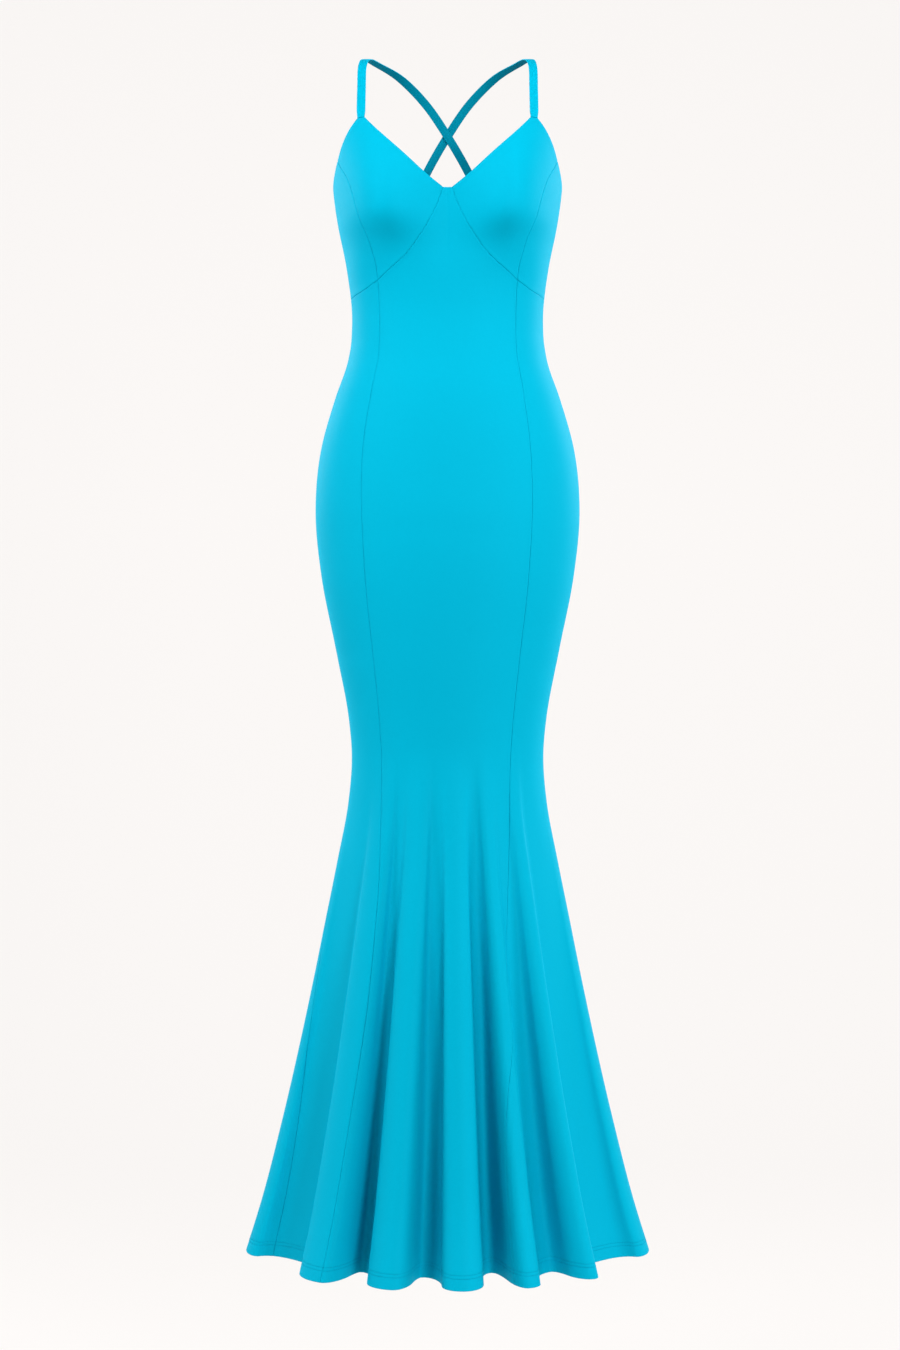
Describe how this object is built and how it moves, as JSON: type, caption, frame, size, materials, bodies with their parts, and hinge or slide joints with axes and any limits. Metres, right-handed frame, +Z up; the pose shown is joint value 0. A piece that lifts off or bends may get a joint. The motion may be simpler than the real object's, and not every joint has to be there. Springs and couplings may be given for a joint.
{
  "type": "mermaid gown",
  "caption": "Floor-length mermaid gown in its worn form, with seamed cups, crossed back straps, long fitted panels and a deeply folded flared hem.",
  "frame": {"origin": "midway between the tops of the two straps, where the wearer's shoulders carry the gown", "axes": "+Z up along the gown, -Y towards the front, +X towards the wearer's left, which is the right of someone facing the front"},
  "size_m": [0.5032, 0.4173, 1.4886],
  "materials": {
    "crepe": "smooth stretch crepe with a soft sheen",
    "straps": "flat turned straps of the same crepe"
  },
  "bodies": {
    "root": {"centre_front": "crepe", "side_front_left": "crepe", "side_front_right": "crepe", "side_back_left": "crepe", "centre_back": "crepe", "side_back_right": "crepe", "inner_cup_left": "crepe", "inner_cup_right": "crepe", "side_cup_left": "crepe", "side_cup_right": "crepe", "strap_right": "straps", "strap_left": "straps"}
  },
  "joints": []
}
